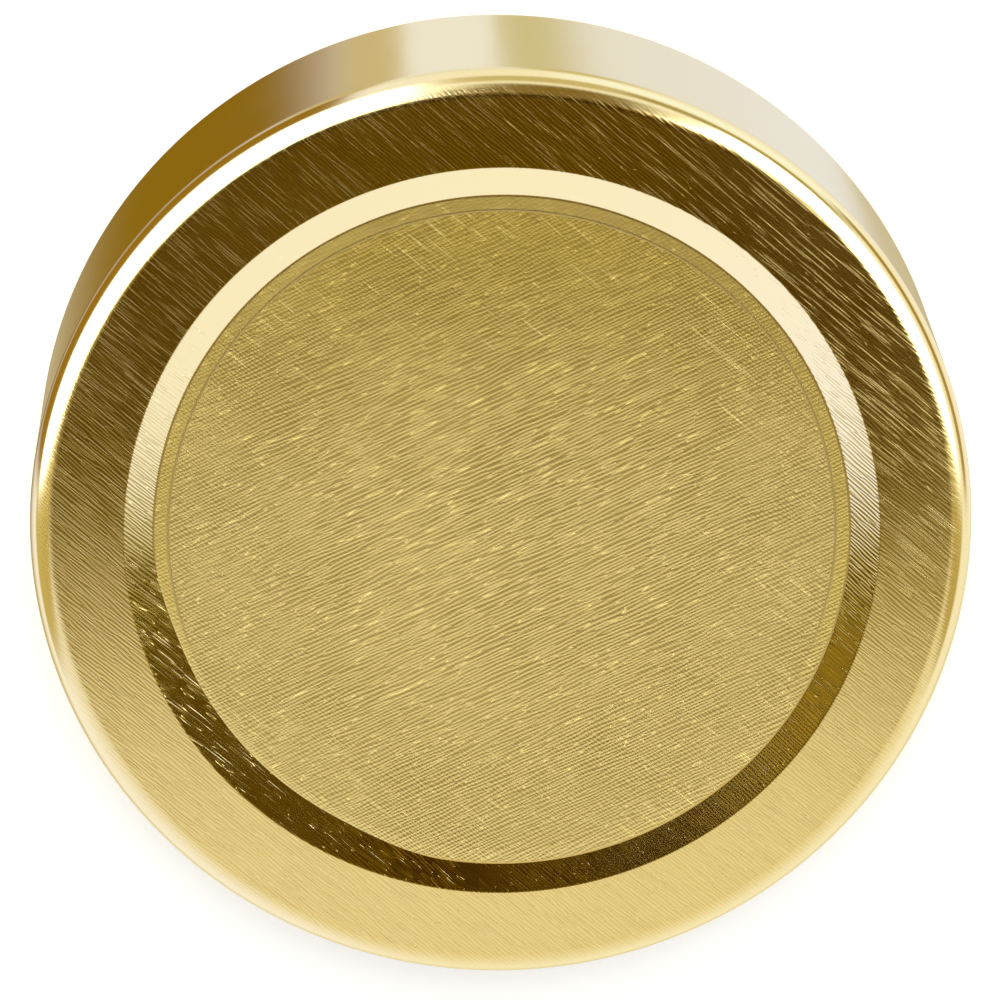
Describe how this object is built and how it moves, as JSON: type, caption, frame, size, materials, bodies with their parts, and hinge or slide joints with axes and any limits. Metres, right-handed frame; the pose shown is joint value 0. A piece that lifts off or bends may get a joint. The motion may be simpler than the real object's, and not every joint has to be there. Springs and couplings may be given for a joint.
{
  "type": "twist-off jar lid",
  "caption": "Round deep twist-off metal jar lid with a recessed panel, rounded shoulder, plain skirt, inward lugs and a sealing ring inside.",
  "frame": {"origin": "centre of the open rim, in the plane that the lid rests on", "axes": "+Z along the lid's axis, from the rim to the panel; X runs through the middle of two lugs"},
  "size_m": [0.061, 0.061, 0.0184],
  "materials": {
    "gold_lacquered_tinplate": "clear gold lacquer over brushed tinplate",
    "sealing_compound": "matt cured sealing compound, off-white"
  },
  "bodies": {
    "root": {"shell": "gold_lacquered_tinplate", "sealing_ring": "sealing_compound"}
  },
  "joints": []
}
